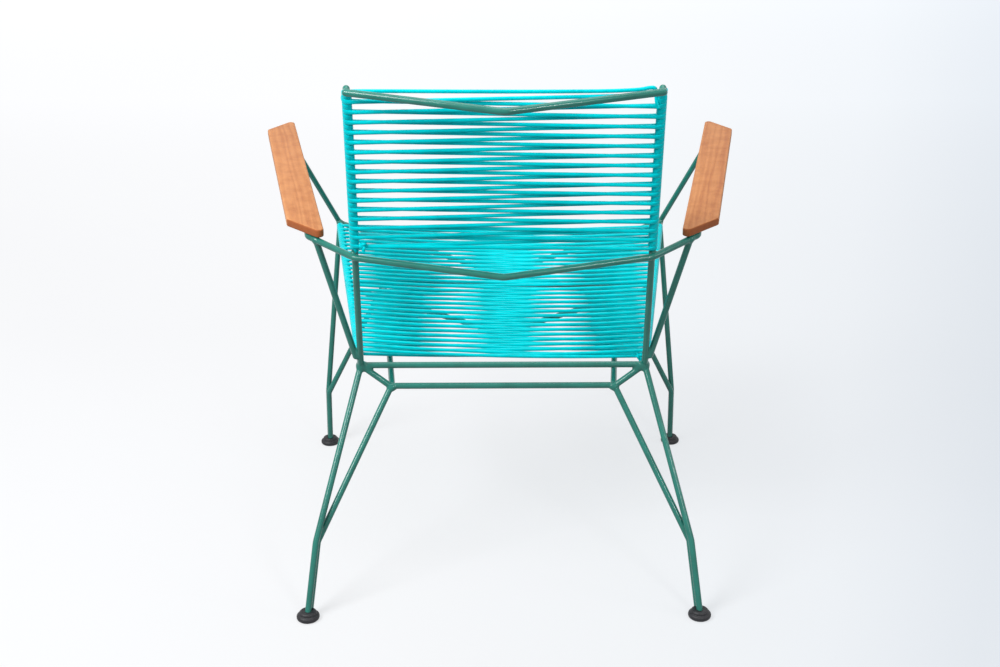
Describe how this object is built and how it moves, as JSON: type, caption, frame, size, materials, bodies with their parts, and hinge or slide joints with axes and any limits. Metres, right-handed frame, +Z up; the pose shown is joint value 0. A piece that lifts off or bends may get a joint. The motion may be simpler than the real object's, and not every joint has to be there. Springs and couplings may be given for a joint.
{
  "type": "lounge armchair",
  "caption": "Low outdoor armchair of bent steel rod with a corded seat and back, wooden arm pads, splayed rod legs and domed rubber feet.",
  "frame": {"origin": "middle of the footprint, on the floor", "axes": "+Z up, the sitter faces -Y, +X is the sitter's left"},
  "size_m": [0.8106, 0.7362, 0.7886],
  "materials": {
    "frame_paint": "gloss green paint",
    "cord_plastic": "smooth turquoise cord",
    "pad_wood": "oiled, orange brown",
    "screw_steel": "plain",
    "foot_rubber": "matt black"
  },
  "bodies": {
    "root": {"side_frame_left": "frame_paint", "side_frame_right": "frame_paint", "back_top_v_bar": "frame_paint", "arm_loop_rod": "frame_paint", "front_v_bar": "frame_paint", "seat_v_bar": "frame_paint", "rear_seat_crossbar": "frame_paint", "rear_leg_frame": "frame_paint", "front_leg_frame": "frame_paint", "rear_outer_leg_left": "frame_paint", "rear_outer_leg_right": "frame_paint", "front_outer_leg_left": "frame_paint", "front_outer_leg_right": "frame_paint", "leg_stretcher_left": "frame_paint", "leg_stretcher_right": "frame_paint", "rear_brace_left": "frame_paint", "rear_brace_right": "frame_paint", "arm_strut_left": "frame_paint", "arm_strut_right": "frame_paint", "arm_pad_left": "pad_wood", "arm_pad_right": "pad_wood", "pad_screw_1_left": "screw_steel", "pad_screw_1_right": "screw_steel", "pad_screw_2_left": "screw_steel", "pad_screw_2_right": "screw_steel", "rear_foot_left": "foot_rubber", "rear_foot_right": "foot_rubber", "front_foot_left": "foot_rubber", "front_foot_right": "foot_rubber", "back_cord": "cord_plastic", "seat_cord": "cord_plastic"}
  },
  "joints": []
}
